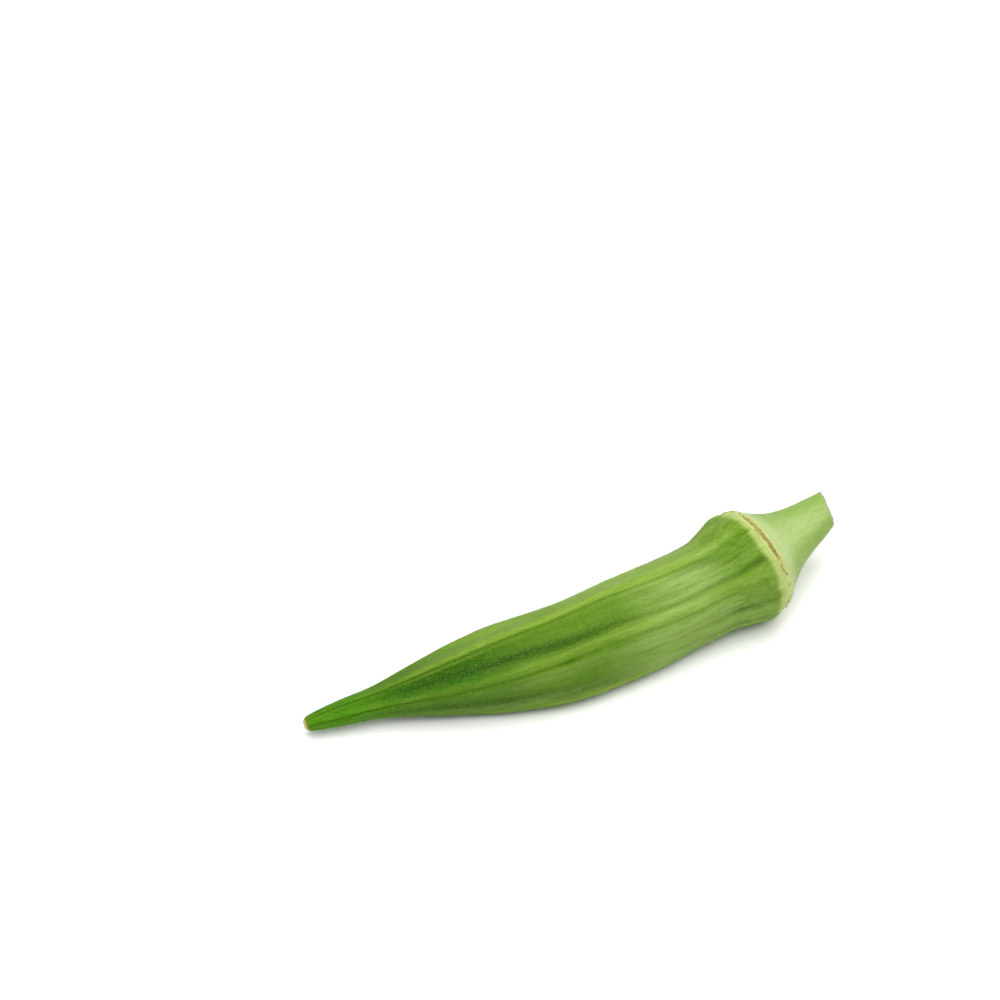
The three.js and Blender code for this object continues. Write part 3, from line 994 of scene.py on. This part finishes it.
def grow_hairs(name, slot, surface, along, gains, lengths, thickest, rng):
    """Hairs at places along a skin and at random columns, but not where it lies on the ground.
    The length is a random share of the set one, times a gain that grows on the crests."""
    settings = bpy.context.scene.okra_fuzz
    column = rng.uniform(0, RIDGES, len(along))
    root, normal, tipwards = skin_frame(surface, along, column)
    free = root[:, 2] > HAIR_FREE_HEIGHT
    root, normal, tipwards = root[free], normal[free], tipwards[free]
    gain = gains[0] + gains[1] * bump(off_crest(column[free]), 0, 0.3)
    length = rng.uniform(*lengths, len(root)) * settings.length / MM * gain
    width = rng.uniform(0.7, thickest, len(root)) * settings.width / MM
    piece = hair_mesh(name, root, normal, tipwards, length, width, rng)
    finish_piece(piece, slot, None, piece_material("okra_hairs"))


def build_pod_fuzz():
    """Fuzz on the capsule, in two pieces: hairs at random places, thinner towards the tip and
    longer on the ridges."""
    count = bpy.context.scene.okra_fuzz.count
    hair_fuzz()
    for name, start, end, seed in FUZZ_HALVES:
        rng = np.random.default_rng(seed)
        tries = rng.uniform(start, end, 4 * count)
        wanted = pod_radius(tries) * smooth_step(*HAIRS_THICKEN, tries)
        along = tries[rng.uniform(0, WIDEST_POD, len(tries)) < wanted][:count]
        grow_hairs(name, "pod_skin", pod_skin_point, along, (0.8, 0.5), (0.45, 1.0), 1.1, rng)


def build_cap_fuzz():
    """Fuzz on the cap and stalk, thinner and shorter than on the capsule."""
    count = bpy.context.scene.okra_fuzz.count
    rng = np.random.default_rng(43)
    tries = rng.uniform(CAP_SHELF + 0.2, STALK_END - 0.3, 2 * count)
    fits = rng.uniform(0, CAP_RADIUS[0][1], len(tries)) < cap_radius(tries)
    along = tries[fits][: count // 4]
    grow_hairs("fuzz_cap", "cap_skin", cap_skin_point, along, (0.75, 0), (0.4, 0.9), 1.0, rng)


# ---- Stage ----

FLOOR_RADIUS = 3000.0
FLOOR_DROP = 0.05
FLOOR_RINGS = 8
FLOOR_SIDES = 96
CAMERA_AIM = (0.003, 0.043, 0.0)
CAMERA_DISTANCE = 0.446
SOFT_BOX_SIZE = 1.1
SOFT_BOX_DISTANCE = 1.0


def build_floor():
    """Floor: a round sheet of paper in evenly spaced rings, just under the pod."""
    radii = np.linspace(0, FLOOR_RADIUS, FLOOR_RINGS + 1)[1:]
    angles = np.linspace(0, TURN, FLOOR_SIDES, endpoint=False)
    radius, angle = np.meshgrid(radii, angles, indexing="ij")
    rings = np.stack([radius * np.cos(angle), radius * np.sin(angle), 0 * angle], -1)
    points = np.vstack([rings.reshape(-1, 3), np.zeros(3)]) - [0, 0, FLOOR_DROP]
    i = np.arange(FLOOR_SIDES)
    fan = np.stack([np.full(FLOOR_SIDES, len(points) - 1), i, (i + 1) % FLOOR_SIDES], -1)
    floor = fill_mesh("paper_floor", points, ring_quads(FLOOR_RINGS, FLOOR_SIDES), fan)
    floor.data.materials.append(studio_paper())


def place_facing(thing, azimuth, elevation, aim, distance):
    """Puts a camera or light at a distance from its aim and turns it there. At azimuth 0 and
    elevation 0 it looks along +Y."""
    turn, lift = np.radians(azimuth), np.radians(elevation)
    level = np.cos(lift)
    back = Vector((np.sin(turn) * level, -np.cos(turn) * level, np.sin(lift)))
    right = Vector((np.cos(turn), np.sin(turn), 0))
    turned = Matrix((right, back.cross(right), back)).transposed().to_4x4()
    thing.matrix_world = Matrix.Translation(Vector(aim) + back * distance) @ turned


def soft_light(name, azimuth, elevation, power):
    """Square soft box that shines on the middle of the pod."""
    light = bpy.data.lights.new(name, "AREA")
    light.size = SOFT_BOX_SIZE
    light.energy = power
    lamp = bpy.data.objects.new(name, light)
    lamp.visible_camera = False
    bpy.context.scene.collection.objects.link(lamp)
    place_facing(lamp, azimuth, elevation, (0, 0, 0), SOFT_BOX_DISTANCE)


def white_room(strength):
    """Even white light from all round, as between white walls."""
    world = bpy.data.worlds.new("white_room")
    world.use_nodes = True
    background = world.node_tree.nodes["Background"]
    background.inputs["Color"].default_value = (1, 1, 1, 1)
    background.inputs["Strength"].default_value = strength
    bpy.context.scene.world = world


# ---- Settings ----


def number(name, description, default, **limits):
    """Number setting."""
    return FloatProperty(name=name, description=description, default=default, **limits)


SHARE = {"min": 0.0, "max": 2.0, "subtype": "FACTOR"}


class OkraPodSettings(bpy.types.PropertyGroup):
    """Relief and colours of the capsule's skin."""

    groove_gain: number("Groove depth", "Depth of the grooves beside the ridges", 1.0, **SHARE)
    rib_gain: number("Rib height", "Height of the fine lengthwise ribs", 1.0, **SHARE)
    face: tint("Face", "Green of the faces", "4F7412")
    face_light: tint("Light face", "Green of the lighter patches", "5E8123")
    # Dark green used for the painted valley shade, and for the thin dark lines and marks.
    hollow: tint("Hollow", "Green of the seam between two ridges", "1F4303")
    # Deep green of the narrowing part, which also carries painted valley shade.
    deep_green_and_shade: tint("Deep", "Green of the narrowing part", "205900")
    # Yellow-green of the ridges, which also carries their painted highlight and the painted facet
    # light.
    crest: tint("Crest", "Yellow-green along the ridges", "83A23A")
    tip: tint("Tip", "Bright green near the tip", "417A00")
    shoulder: tint("Shoulder", "Pale green towards the shoulder", "84A151")
    collar: tint("Collar", "Bright green just before the rim", "527800")
    # Dark green painted in the grooves as crease shade.
    groove_shade: tint("Groove", "Dark green in the grooves", "244B04")
    vein: tint("Vein", "Clear green of the grooves past the middle", "497400")
    speckle: tint("Speckle", "Pale dots where hairs grow", "809C47")
    rim: tint("Rim", "Cream by the scar", "A9B86C")
    cork: tint("Cork", "Tan grain in the cream by the scar", "9C9A55")
    warm: tint("Warm", "Olive of the faint, warmer patches", "667A22")
    haze: tint("Haze", "Whitish green of the pale streaks", "93AD66")
    withered: tint("Withered", "Olive edge round the dry tip", "6C7420")
    dry: tint("Dry tip", "Straw colour of the dry tip", "B5A878")


class OkraCapSettings(bpy.types.PropertyGroup):
    """Colours of the cap, the stalk and its cut."""

    # Whitish green: the wax bloom by the scar, also left showing in the pale bands as a painted
    # highlight.
    bloom: tint("Bloom", "Whitish green by the scar", "A5B978")
    # Green of the cap's flanks, which are painted shade beside the paler highlight bands.
    rind: tint("Rind", "Pale green of the cap", "84A14C")
    stalk: tint("Stalk", "Green of the stalk", "789840")
    frost: tint("Frost", "Whitish bloom close to the scar", "AEBF86")
    edge: tint("Edge", "Cream edge beside the scar", "AAB374")
    fibre: tint("Fibre", "Cut fibres round the pith", "A1A06D")
    pith: tint("Pith", "Spongy middle of the stalk", "B4AD8D")
    stain: tint("Stain", "Brown where the cut has dried", "806B42")


class OkraScarSettings(bpy.types.PropertyGroup):
    """Colours of the sepal scar."""

    straw: tint("Straw", "Cream dry tissue", "B3BC7C")
    tan: tint("Tan", "Tan stain on both sides of the torn line", "A09752")
    brown: tint("Brown", "Brown of the torn line", "918649")
    dark: tint("Dark", "Dark crumbs of the torn line", "807338")
    living_edge: tint("Living edge", "Green-cream where the scar meets skin", "A2B86A")


class OkraFuzzSettings(bpy.types.PropertyGroup):
    """Number, size and colour of the hairs."""

    count: IntProperty(
        name="Hairs", description="Hairs on each half of the capsule", default=46000,
        min=100, max=49000,
    )
    length: number(
        "Length", "Length of a long hair", 0.5 * MM,
        min=0.0, max=2 * MM, unit="LENGTH", precision=5,
    )
    width: number(
        "Root radius", "Radius of a hair at its root", 0.009 * MM,
        min=0.0, max=0.2 * MM, unit="LENGTH", precision=6,
    )
    root: tint("Root", "Colour at the root", "4C7216")
    end: tint("End", "Colour at the end", "809F3A")


class OkraStageSettings(bpy.types.PropertyGroup):
    """Paper, light and camera."""

    paper: tint("Paper", "Colour of the paper", "F2F2F2")
    paper_light: tint("Light paper", "Colour of the paper's lighter fibres", "F8F8F8")
    azimuth: number("Camera azimuth", "Turn of the camera from square on, in degrees", -25.0)
    elevation: number("Camera elevation", "Height of the camera above the level, in degrees", 44.0)
    lens: number("Lens", "Focal length in millimetres on a 36 mm frame", 85.0, min=10.0)
    room: number("Room light", "Strength of the even light", 0.62, min=0.0)
    key_azimuth: number("Soft box azimuth", "Turn of the soft box from square on, in degrees", -5.0)
    key_elevation: number("Soft box elevation", "Height of the soft box, in degrees", 84.0)
    key_power: number("Soft box power", "Power of the soft box in watts", 14.0, min=0.0)


# ---- Operators ----


class OKRA_OT_pod(bpy.types.Operator):
    """Grow the capsule's skin"""

    bl_idname = "okra.grow_pod"
    bl_label = "Capsule"

    def execute(self, context):
        build_pod_skin()
        return {"FINISHED"}


class OKRA_OT_cap(bpy.types.Operator):
    """Grow the cap and the cut stalk"""

    bl_idname = "okra.grow_cap"
    bl_label = "Cap and stalk"

    def execute(self, context):
        build_cap_skin()
        return {"FINISHED"}


class OKRA_OT_scar(bpy.types.Operator):
    """Lay the dry scar and its flakes round the joint"""

    bl_idname = "okra.lay_scar"
    bl_label = "Sepal scar"

    def execute(self, context):
        build_scar_band()
        build_scar_flakes()
        return {"FINISHED"}


class OKRA_OT_fuzz(bpy.types.Operator):
    """Grow the fine hairs on the capsule and the cap"""

    bl_idname = "okra.grow_fuzz"
    bl_label = "Fuzz"

    def execute(self, context):
        build_pod_fuzz()
        build_cap_fuzz()
        return {"FINISHED"}


class OKRA_OT_stage(bpy.types.Operator):
    """Set up the paper, the lights and the camera"""

    bl_idname = "okra.set_stage"
    bl_label = "Stage"

    def execute(self, context):
        settings = context.scene.okra_stage
        build_floor()
        white_room(settings.room)
        soft_light("key_light", settings.key_azimuth, settings.key_elevation, settings.key_power)
        camera = bpy.data.objects.new("camera", bpy.data.cameras.new("camera"))
        camera.data.lens = settings.lens
        camera.data.clip_start = 0.01
        camera.data.clip_end = 20
        context.scene.collection.objects.link(camera)
        look = (settings.azimuth, settings.elevation)
        place_facing(camera, *look, CAMERA_AIM, CAMERA_DISTANCE)
        context.scene.camera = camera
        context.scene.view_settings.view_transform = "Standard"
        return {"FINISHED"}


class OKRA_PT_panel(bpy.types.Panel):
    """Lists the pieces of the okra pod and their settings"""

    bl_label = "Okra Pod"
    bl_idname = "OKRA_PT_panel"
    bl_space_type = "VIEW_3D"
    bl_region_type = "UI"
    bl_category = "Okra"

    def draw(self, context):
        for operator, settings, _ in STEPS:
            box = self.layout.box()
            box.operator(operator.bl_idname)
            group = getattr(context.scene, settings)
            for name in group.bl_rna.properties.keys():
                if name not in ("rna_type", "name"):
                    box.prop(group, name)


STEPS = (
    (OKRA_OT_pod, "okra_pod", OkraPodSettings),
    (OKRA_OT_cap, "okra_cap", OkraCapSettings),
    (OKRA_OT_scar, "okra_scar", OkraScarSettings),
    (OKRA_OT_fuzz, "okra_fuzz", OkraFuzzSettings),
    (OKRA_OT_stage, "okra_stage", OkraStageSettings),
)
CLASSES = (*(step[2] for step in STEPS), *(step[0] for step in STEPS), OKRA_PT_panel)


def register():
    """Registers the classes and hangs the settings on the scene."""
    for each in CLASSES:
        bpy.utils.register_class(each)
    for _, name, group in STEPS:
        setattr(bpy.types.Scene, name, PointerProperty(type=group))


def unregister():
    """Takes the settings and the classes away again."""
    for _, name, _ in STEPS:
        delattr(bpy.types.Scene, name)
    for each in reversed(CLASSES):
        bpy.utils.unregister_class(each)


def main():
    register()
    bpy.ops.okra.grow_pod()
    bpy.ops.okra.grow_cap()
    bpy.ops.okra.lay_scar()
    bpy.ops.okra.grow_fuzz()
    bpy.ops.okra.set_stage()


if __name__ == "__main__":
    main()
